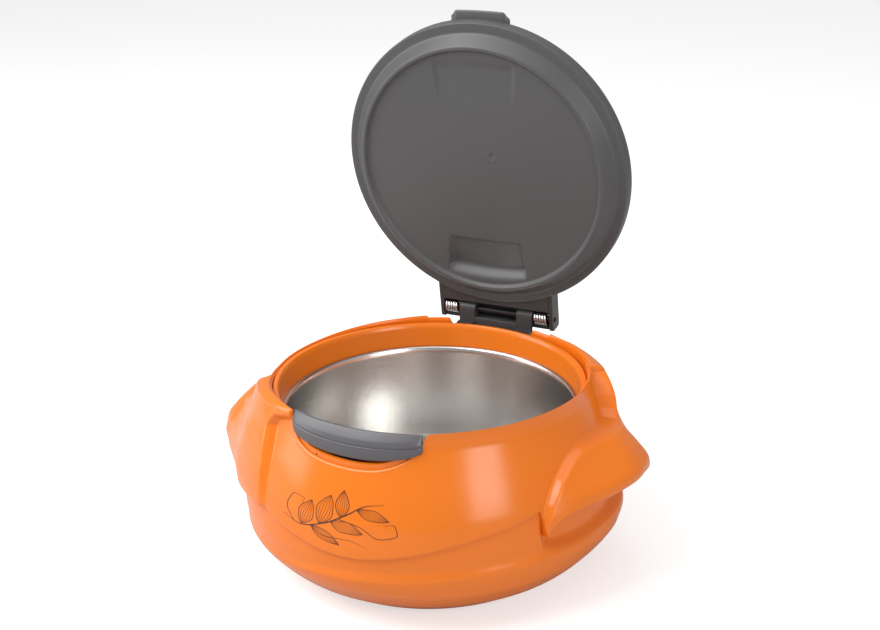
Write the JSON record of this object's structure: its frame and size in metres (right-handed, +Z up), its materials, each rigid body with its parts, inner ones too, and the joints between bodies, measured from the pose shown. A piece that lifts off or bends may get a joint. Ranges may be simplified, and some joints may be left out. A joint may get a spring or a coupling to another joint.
{
  "type": "insulated serving casserole",
  "caption": "Round insulated serving casserole with a swept double-curved shell, two flap handles, a steel inner bowl, a sprung hinged lid held open and a rocking latch button",
  "frame": {"origin": "middle of the base, on the surface that it stands on", "axes": "+Z up, the hinge at +Y, the latch button at -Y, the handles at +X and -X"},
  "size_m": [0.3016, 0.258, 0.3555],
  "materials": {
    "orange_shell": "glossy moulded plastic",
    "steel_bowl": "fine polished stainless steel",
    "foam": "rigid insulating foam",
    "hinge_plastic": "satin moulded plastic",
    "steel_parts": "plain steel",
    "spring_steel": "bright drawn wire",
    "lid_grey": "satin moulded plastic",
    "button_grey": "satin moulded plastic"
  },
  "bodies": {
    "body": {"outer_shell": "orange_shell", "base_cover": "orange_shell", "rim_ring": "orange_shell", "steel_bowl": "steel_bowl", "foam_core": "foam", "hinge_mount": "hinge_plastic", "hinge_mount_screws": "steel_parts", "torsion_spring_left": "spring_steel", "torsion_spring_right": "spring_steel", "latch_shelf": "orange_shell", "button_pivot_pin": "steel_parts"},
    "lid": {"lid_liner": "lid_grey", "lid_shell": "lid_grey", "lid_foam": "foam", "lid_hinge_bracket": "hinge_plastic", "hinge_pin": "steel_parts", "lid_tongue": "lid_grey"},
    "button": {"push_button": "button_grey"}
  },
  "joints": [
    {"name": "lid_hinge", "type": "hinge", "parent": "body", "child": "lid", "pos_m": [0, 0.116, 0.1295], "axis": [1, 0, 0], "range_deg": [0, 81.3], "stiffness_Nm_per_rad": 0.35, "springref_deg": -45.84},
    {"name": "button_rock", "type": "hinge", "parent": "body", "child": "button", "pos_m": [0, -0.1062, 0.109], "axis": [1, 0, 0], "range_deg": [0, 7], "stiffness_Nm_per_rad": 0.6, "springref_deg": -3.44}
  ]
}
